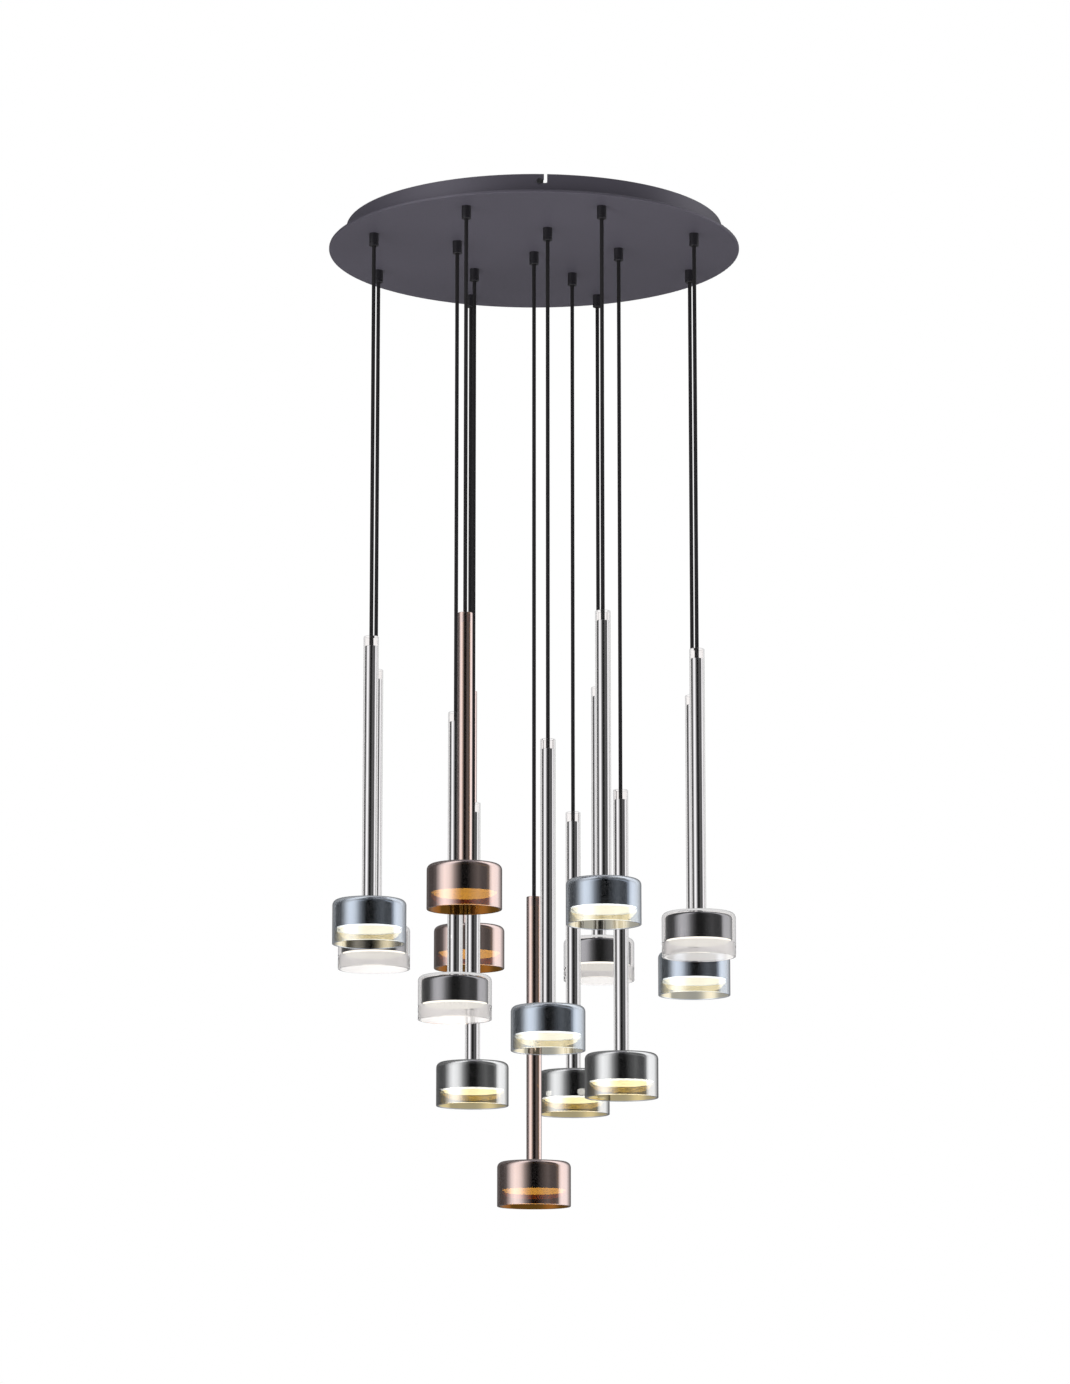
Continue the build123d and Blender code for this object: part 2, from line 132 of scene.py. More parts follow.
# ---------------------------------------------------------------- where each lamp hangs
def lamp_places():
    """Return each lamp's place, hinge height, rim, sleeve top, stem top and finish, from the frame."""
    pivots = {joint["child"]: joint["pos_m"] for joint in frame["joints"]}
    finishes = {part["node"]: part["material_slot"] for part in frame["record"]["subparts"]}
    places = {}
    for number in NUMBERS:
        x, y, pivot = pivots[f"pendant_{number}"]
        glass_low, glass_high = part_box(f"glass_{number}")
        lamp_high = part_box(f"lamp_{number}")[1]
        places[number] = {
            "x": x,
            "y": y,
            "pivot": pivot,
            "rim": glass_low.z,
            "sleeve_top": glass_high.z,
            "stem_top": lamp_high.z,
            "finish": finishes[f"glass_{number}"].replace("glass_", ""),
        }
    return places


PLACES = lamp_places()
GLASS_LOW, GLASS_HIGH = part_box("glass_01")
LAMP_LOW, LAMP_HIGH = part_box("lamp_01")
CORD_LOW, CORD_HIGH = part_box("cord_01")
GLANDS_LOW, GLANDS_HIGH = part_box("cord_glands")
PLATE_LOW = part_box("canopy_plate")[0]


def length_setting(name, description, default):
    """Return a length property in metres, shown to a tenth of a millimetre."""
    return bpy.props.FloatProperty(
        name=name, description=description, default=default, min=0.0, unit="LENGTH", precision=4
    )


def colour_setting(name, description, default):
    """Return a linear colour property."""
    return bpy.props.FloatVectorProperty(
        name=name, description=description, default=default, size=3, min=0.0, max=1.0, subtype="COLOR"
    )


class PENDANT_PG_sizes(bpy.types.PropertyGroup):
    """Sizes of the lamps, cords and glands"""

    shade_diameter: length_setting("Shade diameter", "Outside of the glass shade", GLASS_HIGH.x - GLASS_LOW.x)
    shade_height: length_setting("Shade height", "Upper face to rim", 0.063)
    shade_wall: length_setting("Shade wall", "Thickness of the shade's glass", 0.003)
    shoulder: length_setting("Shoulder", "Outer radius of the shade's shoulder", 0.008)
    rim_round: length_setting("Rim round", "Radius of the shade's polished rim", 0.0012)
    sleeve_diameter: length_setting("Sleeve diameter", "Outside of the glass sleeve", 0.0215)
    sleeve_wall: length_setting("Sleeve wall", "Thickness of the sleeve's glass", 0.0018)
    collar_diameter: length_setting("Collar diameter", "Outside of the collar under the sleeve", 0.0235)
    collar_height: length_setting("Collar height", "From the shade to the sleeve", 0.003)
    stem_diameter: length_setting("Stem diameter", "Outside of the stem tube", 0.017)
    stem_wall: length_setting("Stem wall", "Thickness of the stem tube", 0.0015)
    cap_diameter: length_setting("Cap diameter", "Outside of the metal cap", LAMP_HIGH.x - LAMP_LOW.x)
    cap_height: length_setting("Cap height", "Height of the metal cap", 0.036)
    cap_wall: length_setting("Cap wall", "Thickness of the metal cap", 0.0015)
    cap_shoulder: length_setting("Cap shoulder", "Radius of the cap's shoulder", 0.006)
    washer_height: length_setting("Washer height", "Between the shade and the cap", 0.001)
    light_diameter: length_setting("Light diameter", "Outside of the ring around the light", 0.082)
    light_wall: length_setting("Light wall", "Thickness of that ring", 0.0012)
    light_drop: length_setting("Light drop", "The ring below the cap's mouth", 0.003)
    ring_height: length_setting("Ring height", "The ring inside the cap", 0.005)
    cord_diameter: length_setting("Cord diameter", "Outside of the cord", CORD_HIGH.x - CORD_LOW.x)
    gland_diameter: length_setting("Gland diameter", "Outside of the cord gland", 0.0135)
    gland_length: length_setting("Gland length", "Below the canopy plate", PLATE_LOW.z - GLANDS_LOW.z)
    segments: bpy.props.IntProperty(
        name="Segments", description="Faces around a shade, a cap and a light", default=96, min=12
    )


class PENDANT_PG_finishes(bpy.types.PropertyGroup):
    """Colours and light of the finishes"""

    paint: colour_setting("Paint", "Canopy paint", (0.113, 0.105, 0.132))
    cord: colour_setting("Cord", "Cord sheath", (0.018, 0.017, 0.018))
    gland: colour_setting("Gland", "Cord gland", (0.016, 0.015, 0.018))
    chrome: colour_setting("Chrome", "Stem and collar", (0.86, 0.86, 0.88))
    dark_cap: colour_setting("Dark cap", "Cap in the clear shades", (0.34, 0.34, 0.36))
    blue_cap: colour_setting("Blue cap", "Cap in the blue shades", (0.36, 0.40, 0.46))
    bright_cap: colour_setting("Bright cap", "Cap in the smoke and copper shades", (0.50, 0.50, 0.50))
    clear_tint: colour_setting("Clear tint", "Seen through the clear glass", (0.975, 0.955, 0.95))
    # painted glow: whitish glass for the clear shade's inside below the light, which the light inside lights up
    painted_glow_tint: colour_setting("Milky tint", "Clear glass below the light", (0.90, 0.88, 0.875))
    blue_coat: colour_setting("Blue coat", "Reflection of the blue glass", (0.80, 0.88, 1.0))
    blue_tint: colour_setting("Blue tint", "Seen through the blue glass", (0.92, 0.80, 0.54))
    smoke_coat: colour_setting("Smoke coat", "Reflection of the smoke glass", (0.92, 0.93, 0.94))
    smoke_tint: colour_setting("Smoke tint", "Seen through the smoke glass", (0.52, 0.38, 0.13))
    copper_coat: colour_setting("Copper coat", "Reflection of the copper glass", (1.0, 0.79, 0.75))
    copper_tint: colour_setting("Copper tint", "Seen through the copper glass", (0.20, 0.055, 0.0015))
    light: colour_setting("Light", "Colour of the light", (1.0, 0.97, 0.88))
    light_strength: bpy.props.FloatProperty(
        name="Light strength", description="Brightness of the light, 1 is white", default=1.15, min=0.0
    )


# ---------------------------------------------------------------- turned shapes
def rounded(corners, steps=6):
    """Round the corners of an outline.

    Each corner is (r, z, radius). A corner with a radius becomes an arc that is tangent to both its
    sides: its centre lies on the bisector, and the arc's points are the centre plus the radius times
    directions turned in equal steps from one side's normal to the other's. A short step before and
    after the arc keeps the flat sides flat when they are smooth shaded.
    """
    pts = np.array([(r, z) for r, z, radius in corners], float)
    radii = np.array([radius for r, z, radius in corners], float)
    before = np.roll(pts, 1, axis=0) - pts
    after = np.roll(pts, -1, axis=0) - pts
    before /= np.maximum(np.linalg.norm(before, axis=1, keepdims=True), TINY)
    after /= np.maximum(np.linalg.norm(after, axis=1, keepdims=True), TINY)
    half = np.arccos(np.clip((before * after).sum(1), -1, 1)) / 2
    out = []
    for point, radius, a, b, angle in zip(pts, radii, before, after, half):
        if radius <= 0:
            out.append(point[None])
            continue
        reach = radius / math.tan(angle)
        start, end = point + a * reach, point + b * reach
        middle = (a + b) / np.linalg.norm(a + b)
        centre = point + middle * radius / math.sin(angle)
        t = np.linspace(0, 1, steps + 1)[:, None]
        first, last = (start - centre) / radius, (end - centre) / radius
        turn = math.acos(float(np.clip(first @ last, -1, 1)))
        arc = (np.sin((1 - t) * turn) * first + np.sin(t * turn) * last) / math.sin(turn)
        guard = ARC_GUARD * radius
        out.append(np.concatenate([[start + a * guard], centre + radius * arc, [end + b * guard]]))
    return np.concatenate(out)


def turned_arrays(outline, centre, segments, closed=True):
    """Turn an outline of (r, z) points about an upright axis through centre.

    Point k of the outline at turn t becomes x = cx + r cos t, y = cy + r sin t, z = cz + z. The faces
    join neighbouring points and turns. A closed outline also joins its last point to its first, and
    an open one starts and ends on the axis. Faces are wound to point away from the solid.
    """
    outline = np.asarray(outline, float)
    following = np.roll(outline, -1, axis=0)
    area = (outline[:, 0] * following[:, 1] - following[:, 0] * outline[:, 1]).sum()
    if area < 0:
        outline = outline[::-1]
    t = np.arange(segments) * (2 * np.pi / segments)
    r, z = outline[:, :1], outline[:, 1:]
    grid = np.stack([centre[0] + r * np.cos(t), centre[1] + r * np.sin(t), centre[2] + z + 0 * t], axis=2)
    rows = np.arange(len(outline) if closed else len(outline) - 1)
    row, turn = np.meshgrid(rows, np.arange(segments), indexing="ij")
    up, round_ = (row + 1) % len(outline), (turn + 1) % segments
    faces = np.stack(
        [row * segments + turn, row * segments + round_, up * segments + round_, up * segments + turn], axis=2
    )
    return grid.reshape(-1, 3), faces.reshape(-1, 4), area < 0


def box_arrays(centres, sizes, angles):
    """Boxes turned about upright axes: corner = centre + turned (half size times the eight signs)."""
    signs = np.array([(x, y, z) for z in (-1, 1) for y in (-1, 1) for x in (-1, 1)], float)
    half = np.asarray(sizes, float)[:, None, :] / 2 * signs[None]
    cos, sin = np.cos(angles)[:, None], np.sin(angles)[:, None]
    x = half[..., 0] * cos - half[..., 1] * sin
    y = half[..., 0] * sin + half[..., 1] * cos
    verts = np.stack([x, y, half[..., 2]], axis=2) + np.asarray(centres, float)[:, None, :]
    one = np.array([(0, 2, 3, 1), (4, 5, 7, 6), (0, 1, 5, 4), (2, 6, 7, 3), (0, 4, 6, 2), (1, 3, 7, 5)])
    faces = one[None] + 8 * np.arange(len(verts))[:, None, None]
    return verts.reshape(-1, 3), faces.reshape(-1, 4)


def equal_turns(count):
    """Angles that divide a full turn into count equal steps."""
    return np.arange(count) * (2 * np.pi / count)


def around(centre, radius, turns, level):
    """Places on a level circle: x = cx + r cos t, y = cy + r sin t."""
    return np.stack([
        centre[0] + radius * np.cos(turns), centre[1] + radius * np.sin(turns), np.full(len(turns), level),
    ], 1)


def joined(parts):
    """Put several (vertices, faces) pairs into one pair, each part's faces counted on from the last."""
    starts = np.cumsum([0] + [len(verts) for verts, faces in parts[:-1]])
    verts = np.concatenate([verts for verts, faces in parts])
    faces = np.concatenate([faces + start for start, (v, faces) in zip(starts, parts)])
    return verts, faces


def new_object(name, verts, faces, materials, slots=None, smooth=True):
    """Make a mesh object from arrays. Vertices that coincide, as on the axis, become one."""
    keys = np.round(verts * MERGE_STEPS).astype(np.int64)
    first, index = np.unique(keys, axis=0, return_index=True, return_inverse=True)[1:]
    order = np.argsort(first)
    rank = np.empty(len(order), int)
    rank[order] = np.arange(len(order))
    verts, faces = verts[first[order]], rank[index.reshape(-1)][faces]
    same = faces == np.roll(faces, -1, axis=1)
    whole = same.sum(1) == 0
    corner = same.sum(1) == 1
    quads = faces[whole]
    tris = faces[corner][~same[corner]].reshape(-1, 3)
    slot_list = np.zeros(len(faces), int) if slots is None else np.asarray(slots)
    mesh = bpy.data.meshes.new(name)
    mesh.from_pydata(verts.tolist(), [], quads.tolist() + tris.tolist())
    for material in materials:
        mesh.materials.append(material)
    kept = np.concatenate([slot_list[whole], slot_list[corner]])
    mesh.polygons.foreach_set("material_index", kept.astype(np.int32))
    if smooth:
        mesh.shade_smooth()
        mesh.set_sharp_from_angle(angle=SMOOTH_ANGLE)
    mesh.update()
    mesh.validate()
    thing = bpy.data.objects.new(name, mesh)
    bpy.context.scene.collection.objects.link(thing)
    return thing


def turned(name, outline, centre, segments, materials, closed=True, row_slots=None, smooth=True):
    """Make one turned piece. row_slots gives each outline point's side a material slot."""
    verts, faces, flipped = turned_arrays(outline, centre, segments, closed)
    slots = None
    if row_slots is not None:
        rows = np.asarray(row_slots)
        if flipped:
            rows = np.roll(rows[::-1], -1)
        slots = np.repeat(rows if closed else rows[:-1], segments)
    return new_object(name, verts, faces, materials, slots, smooth)


# ---------------------------------------------------------------- materials
def new_material(name):
    """Return a material with one principled shader, and its nodes and links."""
    material = bpy.data.materials.new(name)
    material.use_nodes = True
    nodes, links = material.node_tree.nodes, material.node_tree.links
    return material, nodes, links, nodes["Principled BSDF"]


def set_inputs(shader, values):
    """Set the shader's own sockets."""
    for key, value in values.items():
        shader.inputs[key].default_value = (*value, 1.0) if isinstance(value, (tuple, list)) else value


def noise(nodes, links, scale, detail=3.0, stretch=(1.0, 1.0, 1.0)):
    """Add a noise texture on object coordinates and return its factor."""
    coordinates = nodes.new("ShaderNodeTexCoord")
    mapping = nodes.new("ShaderNodeMapping")
    mapping.inputs["Scale"].default_value = stretch
    texture = nodes.new("ShaderNodeTexNoise")
    texture.inputs["Scale"].default_value = scale
    texture.inputs["Detail"].default_value = detail
    links.new(coordinates.outputs["Object"], mapping.inputs["Vector"])
    links.new(mapping.outputs["Vector"], texture.inputs["Vector"])
    return texture.outputs["Fac"]


def ramp(nodes, links, factor, low, high, start=0.35, end=0.65):
    """Add a colour ramp between two greys or colours and return its colour."""
    node = nodes.new("ShaderNodeValToRGB")
    for element, place, value in zip(node.color_ramp.elements, (start, end), (low, high)):
        element.position = place
        element.color = (*value, 1.0) if isinstance(value, (tuple, list)) else (value, value, value, 1.0)
    links.new(factor, node.inputs["Fac"])
    return node.outputs["Color"]


def feed(links, socket, value):
    """Give a socket its value: the output that it is linked to, or a number or colour of its own."""
    if isinstance(value, bpy.types.NodeSocket):
        links.new(value, socket)
    else:
        socket.default_value = value


def calculate(nodes, links, operation, *values):
    """Add a math node on outputs or numbers and return its value."""
    node = nodes.new("ShaderNodeMath")
    node.operation = operation
    for socket, value in zip(node.inputs, values):
        feed(links, socket, value)
    return node.outputs["Value"]


def blend(nodes, links, factor, first, second):
    """Add a mix that gives the first colour where factor is 0, and the second where it is 1."""
    node = nodes.new("ShaderNodeMix")
    node.data_type = "RGBA"
    links.new(factor, node.inputs["Factor"])
    feed(links, node.inputs["A"], first)
    feed(links, node.inputs["B"], second)
    return node.outputs["Result"]


def shifted(colour, factor):
    """Return the colour times factor, kept below white."""
    return tuple(min(1.0, channel * factor) for channel in colour)


def vary_colour(nodes, links, shader, pattern, colour, low, high, socket="Base Color"):
    """Let the shader's colour go from low to high times itself, as the pattern goes from dark to bright."""
    links.new(ramp(nodes, links, pattern, shifted(colour, low), shifted(colour, high)), shader.inputs[socket])


def vary_gloss(nodes, links, shader, pattern, low, high):
    """Let the shader's roughness go from low to high, as the pattern goes from dark to bright."""
    links.new(ramp(nodes, links, pattern, low, high), shader.inputs["Roughness"])


def bump(nodes, links, shader, height, strength, distance):
    """Raise the surface by a height texture."""
    node = nodes.new("ShaderNodeBump")
    node.inputs["Strength"].default_value = strength
    node.inputs["Distance"].default_value = distance
    links.new(height, node.inputs["Height"])
    links.new(node.outputs["Normal"], shader.inputs["Normal"])


def paint_material(colour):
    """Satin powder paint: fine grain, and a slow drift of tone over the plate."""
    material, nodes, links, shader = new_material("canopy_paint")
    set_inputs(shader, {"Metallic": 0.35, "Specular IOR Level": 0.5})
    drift = noise(nodes, links, 3.0, 2.0)
    vary_colour(nodes, links, shader, drift, colour, 0.94, 1.06)
    grain = noise(nodes, links, 1400.0, 2.0)
    vary_gloss(nodes, links, shader, grain, 0.40, 0.50)
    bump(nodes, links, shader, grain, 0.10, 0.0001)
    return material


def moulded_material(name, colour, roughness, grain_scale=900.0):
    """Moulded plastic: a fine spark-eroded grain."""
    material, nodes, links, shader = new_material(name)
    grain = noise(nodes, links, grain_scale, 2.0)
    vary_colour(nodes, links, shader, grain, colour, 0.9, 1.1)
    vary_gloss(nodes, links, shader, grain, roughness - 0.05, roughness + 0.05)
    bump(nodes, links, shader, grain, 0.15, 0.0001)
    return material


def cord_material(colour):
    """Round cord sheath: faint close ribs along its length under a satin sheen."""
    material, nodes, links, shader = new_material("cord_black")
    set_inputs(shader, {"Specular IOR Level": 0.15})
    ribs = noise(nodes, links, 500.0, 2.0, (1.0, 1.0, 2.4))
    vary_colour(nodes, links, shader, ribs, colour, 0.9, 1.1)
    vary_gloss(nodes, links, shader, ribs, 0.52, 0.54)
    return material


def metal_material(name, colour, roughness, grain_scale=30.0, spread=0.01):
    """Polished or plated metal: its gloss and tone vary faintly, as on a hand-buffed tube."""
    material, nodes, links, shader = new_material(name)
    set_inputs(shader, {"Metallic": 1.0})
    cloud = noise(nodes, links, grain_scale, 3.0)
    vary_colour(nodes, links, shader, cloud, colour, 0.985, 1.015)
    vary_gloss(nodes, links, shader, cloud, roughness, roughness + spread)
    return material


def glass_material(name, colour, mirror=None):
    """Clear glass, or glass with a vapour coat that mirrors light which comes from the air.

    mirror is the share that the coat mirrors where it is seen face on, and where it is seen edge on.
    """
    material, nodes, links, shader = new_material(name)
    set_inputs(shader, {"Transmission Weight": 1.0, "Roughness": 0.0})
    set_inputs(shader, COATED_GLASS if mirror else CLEAR_GLASS)
    if mirror:
        facing = nodes.new("ShaderNodeLayerWeight").outputs["Facing"]
        backfacing = nodes.new("ShaderNodeNewGeometry").outputs["Backfacing"]
        air_side = ramp(nodes, links, backfacing, 1.0, 0.0)
        share = ramp(nodes, links, facing, *mirror, *COAT_GROWS)
        links.new(calculate(nodes, links, "MULTIPLY", share, air_side), shader.inputs["Metallic"])
    cloud = noise(nodes, links, 25.0, 2.0)
    vary_colour(nodes, links, shader, cloud, colour, 0.985, 1.01)
    return material


def painted_glow_material(name, colour):
    """Painted glow on the clear shade's inside below the light: a whitish, partly diffuse copy of the clear glass
    there, which the light inside lights up.
    """
    material, nodes, links, shader = new_material(name)
    set_inputs(shader, {
        "Transmission Weight": 0.45, "Roughness": 0.0, "IOR": 1.30, "Specular IOR Level": 0.2,
    })
    cloud = noise(nodes, links, 25.0, 2.0)
    vary_colour(nodes, links, shader, cloud, colour, 0.97, 1.0)
    return material


def light_material(name, colour, strength):
    """Opal diffuser, lit from behind.

    It shows directly and through glass. Mirrored, it shows only in the back wall of its own shade: the
    ray has gone through two glass surfaces by then, and the rest of its way is short. So the light
    leaves no bright dots in the neighbours.
    """
    material, nodes, links, shader = new_material(name)
    set_inputs(shader, {"Base Color": (0.12, 0.12, 0.11), "Roughness": 0.45, "Emission Strength": strength})
    path = nodes.new("ShaderNodeLightPath").outputs
    direct = calculate(nodes, links, "LESS_THAN", path["Glossy Depth"], 0.5)
    two_surfaces = calculate(nodes, links, "COMPARE", path["Transmission Depth"], 2.0, 0.5)
    near = calculate(nodes, links, "LESS_THAN", path["Ray Length"], OWN_WALL)
    mirrored = calculate(nodes, links, "MULTIPLY", two_surfaces, near)
    links.new(calculate(nodes, links, "MAXIMUM", direct, mirrored), shader.inputs["Alpha"])
    cloud = noise(nodes, links, 60.0, 1.0)
    vary_colour(nodes, links, shader, cloud, colour, 0.96, 1.0, "Emission Color")
    return material


def coats(finishes):
    """Return each finish's glass materials: outside, inside above the light, and inside below it."""
    clear = glass_material("glass_clear", tuple(finishes.clear_tint))
    # the clear shades' inside below the light gets whitish glass, a painted glow of the light
    sets = {"clear": (clear, clear, painted_glow_material("glass_clear_milky", tuple(finishes.painted_glow_tint)))}
    for name, (from_outside, from_inside) in COAT_MIRROR.items():
        coat, tint = (tuple(getattr(finishes, f"{name}_{part}")) for part in ("coat", "tint"))
        inner_mirror = (from_inside, from_inside)
        sets[name] = (
            glass_material(f"glass_{name}_coat", coat, (from_outside, COAT_AT_SIDES[name])),
            glass_material(f"glass_{name}_above", TINT_ABOVE.get(name, tint), inner_mirror),
            glass_material(f"glass_{name}_below", tint, inner_mirror),
        )
    return sets


def leave_out_of_mirrors(thing):
    """Hide an object from mirrored light, so that glass and metal mirror the studio and no neighbours."""
    thing.visible_glossy = False


def dress(node, material):
    """Give one frame node its finish."""
    slots = NODES[node].data.materials
    slots.clear()
    slots.append(material)


# ---------------------------------------------------------------- gland and glass
def gland_outline(sizes):
    """Half section of a gland: a bevelled bore, a groove around it and a neck up through the plate."""
    outer, bore = sizes.gland_diameter / 2, sizes.cord_diameter / 2 + GLAND_CLEARANCE
    seat, top = PLATE_LOW.z, GLANDS_HIGH.z
    mouth = seat - sizes.gland_length
    groove = mouth + GROOVE_LEVEL
    bore_edge, mouth_edge, top_edge = GLAND_EDGES
    return rounded([
        (bore + GLAND_BEVEL, mouth, bore_edge),
        (outer, mouth, mouth_edge),
        (outer, groove, GROOVE_EDGE),
        (outer - GROOVE_DEPTH, groove + GROOVE_SLOPE, 0),
        (outer - GROOVE_DEPTH, groove + GROOVE_WIDTH - GROOVE_SLOPE, 0),
        (outer, groove + GROOVE_WIDTH, GROOVE_EDGE),
        (outer, seat, 0),
        (GLAND_NECK, seat, 0),
        (GLAND_NECK, top, top_edge),
        (bore, top, 0),
        (bore, mouth + GLAND_BEVEL, 0),
    ], steps=4)


def shade_outline(sizes):
    """Half section of a shade: a cup, open downwards, with a hole for the stem in its top.

    The second array says which glass each side of the outline gets: 0 outside, 1 inside above the
    light and around the rim, 2 inside below the light.
    """
    outer, wall, height = sizes.shade_diameter / 2, sizes.shade_wall, sizes.shade_height
    hole = sizes.stem_diameter / 2 + SLIDE
    light_level = wall + sizes.washer_height + sizes.cap_height + sizes.light_drop
    outline = rounded([
        (hole, 0, 0),
        (outer, 0, sizes.shoulder),
        (outer, -height, sizes.rim_round),
        (outer - wall, -height, sizes.rim_round),
        (outer - wall, -light_level, 0),
        (outer - wall, -wall, sizes.shoulder - wall),
        (hole, -wall, 0),
    ], steps=8)
    radius, level = outline.T
    glass = np.where(np.arange(len(outline)) >= np.argmin(level), 1, 0)
    on_wall = radius < outer - wall + TOLERANCE
    glass[(glass == 1) & on_wall & (level < -light_level - TOLERANCE)] = 2
    return outline, glass


def sleeve_outline(sizes, top):
    """Half section of a sleeve, from its collar to its top, and its glass: 0 outside, 1 inside."""
    outer = sizes.sleeve_diameter / 2
    inner = outer - sizes.sleeve_wall
    foot_edge, top_edge = SLEEVE_EDGES
    outline = rounded([
        (outer, sizes.collar_height, foot_edge),
        (outer, top, top_edge),
        (inner, top, top_edge),
        (inner, sizes.collar_height, foot_edge),
    ], steps=5)
    return outline, np.where(np.arange(len(outline)) >= len(outline) // 2, 1, 0)


# ---------------------------------------------------------------- lamp
def lamp_levels(sizes, place):
    """Return the heights and radii that the pieces of one lamp share.

    The shade's top stands its height above the rim. From there the wall, washer, cap and light follow
    one another downwards.
    """
    shade_top = place["rim"] + sizes.shade_height
    cap_top = shade_top - sizes.shade_wall - sizes.washer_height
    mouth = cap_top - sizes.cap_height
    sink_top = cap_top - sizes.cap_wall - NUT_HEIGHT
    stem, cap, ring = sizes.stem_diameter / 2, sizes.cap_diameter / 2, sizes.light_diameter / 2
    return SimpleNamespace(
        centre=(place["x"], place["y"], 0.0),
        stem_top=place["stem_top"],
        shade_top=shade_top,
        cap_top=cap_top,
        sink_top=sink_top,
        stem_foot=sink_top - STEM_GRIP,
        ring_top=mouth + sizes.ring_height,
        mouth=mouth,
        light_mouth=mouth - sizes.light_drop,
        stem=stem,
        bore=stem - sizes.stem_wall,
        cap=cap,
        inside=cap - sizes.cap_wall - SLIDE,
        ring=ring,
        disc=ring - sizes.light_wall,
    )


def collar_outline(sizes, at):
    """Half section of a collar: a short ring on the shade, softly rounded under the sleeve."""
    radius, top = sizes.collar_diameter / 2, at.shade_top + sizes.collar_height
    foot_edge, top_edge = COLLAR_EDGES
    return rounded([
        (at.stem, at.shade_top, 0),
        (radius, at.shade_top, foot_edge),
        (radius, top, top_edge),
        (at.stem, top, 0),
    ], steps=4)


def stem_outline(at):
    """Half section of a stem: a tube from inside the heat sink to the cord."""
    outer_edge, inner_edge = STEM_EDGES
    return rounded([
        (at.stem, at.stem_foot, 0),
        (at.stem, at.stem_top, outer_edge),
        (at.bore, at.stem_top, inner_edge),
        (at.bore, at.stem_foot, 0),
    ], steps=4)


def plug_outline(at):
    """Half section of the plug that grips the cord in the stem's top, a little higher in its middle."""
    foot = at.stem_top - PLUG_HEIGHT
    rim_drop, middle_drop = PLUG_DROPS
    return [(0, foot), (at.bore, foot), (at.bore, at.stem_top - rim_drop), (0, at.stem_top - middle_drop)]


def washer_outline(sizes, at):
    """Half section of the washer between the shade's glass and the cap."""
    top = at.shade_top - sizes.shade_wall
    return rounded([
        (at.stem, at.cap_top, 0),
        (WASHER_RADIUS, at.cap_top, WASHER_EDGE),
        (WASHER_RADIUS, top, WASHER_EDGE),
        (at.stem, top, 0),
    ], steps=3)


def cap_outline(sizes, at):
    """Half section of a metal cap: a spun cup, open downwards, with a round shoulder."""
    inner, inner_top = at.cap - sizes.cap_wall, at.cap_top - sizes.cap_wall
    outer_edge, inner_edge = CAP_EDGES
    return rounded([
        (at.stem, at.cap_top, 0),
        (at.cap, at.cap_top, sizes.cap_shoulder),
        (at.cap, at.mouth, outer_edge),
        (inner, at.mouth, inner_edge),
        (inner, inner_top, sizes.cap_shoulder - sizes.cap_wall),
        (at.stem, inner_top, 0),
    ], steps=8)


def nut_outline(at):
    """Half section of the stem's nut, through its corners."""
    bore, top = at.stem * NUT_BORE, at.sink_top + NUT_HEIGHT
    return [(bore, at.sink_top), (NUT_CORNER, at.sink_top), (NUT_CORNER, top), (bore, top)]


def light_ring_outline(at):
    """Half section of the ring around the light: a step from its seat in the cap down to its mouth."""
    inner_edge, outer_edge, seat_edge = RING_EDGES
    return rounded([
        (at.disc, at.light_mouth, inner_edge),
        (at.ring, at.light_mouth, outer_edge),
        (at.ring, at.mouth, 0),
        (at.inside, at.mouth, seat_edge),
        (at.inside, at.ring_top, 0),
        (at.disc, at.ring_top, 0),
    ], steps=4)


def diffuser_outline(at):
    """Half section of the flat diffuser in the ring's mouth."""
    foot, top = at.light_mouth + DIFFUSER_INSET, at.light_mouth + DIFFUSER_TOP
    return [(0, foot), (at.disc, foot), (at.disc, top), (0, top)]


def heat_sink_arrays(sizes, at):
    """A plate with a boss that grips the stem, and fins that stand on the plate around the boss."""
    plate_top = at.ring_top + SINK_PLATE
    body = turned_arrays(rounded([
        (0, at.ring_top, 0),
        (at.inside, at.ring_top, SINK_EDGE),
        (at.inside, plate_top, SINK_EDGE),
        (BOSS_RADIUS, plate_top, 0),
        (BOSS_RADIUS, at.sink_top, SINK_EDGE),
        (at.stem, at.sink_top, 0),
        (at.stem, at.stem_foot, 0),
        (0, at.stem_foot, 0),
    ], steps=3), at.centre, TUBE_FACES, closed=False)[:2]
    fin_end = at.inside - sizes.cap_shoulder
    fin_height = FIN_SIZE[1]
    turns = equal_turns(FIN_COUNT)
    fins = box_arrays(
        around(at.centre, (BOSS_RADIUS + fin_end) / 2, turns, plate_top + fin_height / 2),
        np.tile((fin_end - BOSS_RADIUS, *FIN_SIZE), (FIN_COUNT, 1)), turns,
    )
    return joined([body, fins])


def led_board_arrays(at):
    """A round board below the heat sink with diodes on a circle under it, and each face's material slot."""
    radius, thickness = BOARD
    under = at.ring_top - thickness
    board = turned_arrays([
        (0, under), (radius, under), (radius, at.ring_top), (0, at.ring_top),
    ], at.centre, SMALL_FACES, closed=False)[:2]
    turns = equal_turns(DIODE_COUNT)
    diodes = box_arrays(
        around(at.centre, DIODE_CIRCLE, turns, under - DIODE_SIZE[2] / 2),
        np.tile(DIODE_SIZE, (DIODE_COUNT, 1)), turns,
    )
    return joined([board, diodes]), np.repeat([0, 1], [len(board[1]), len(diodes[1])])


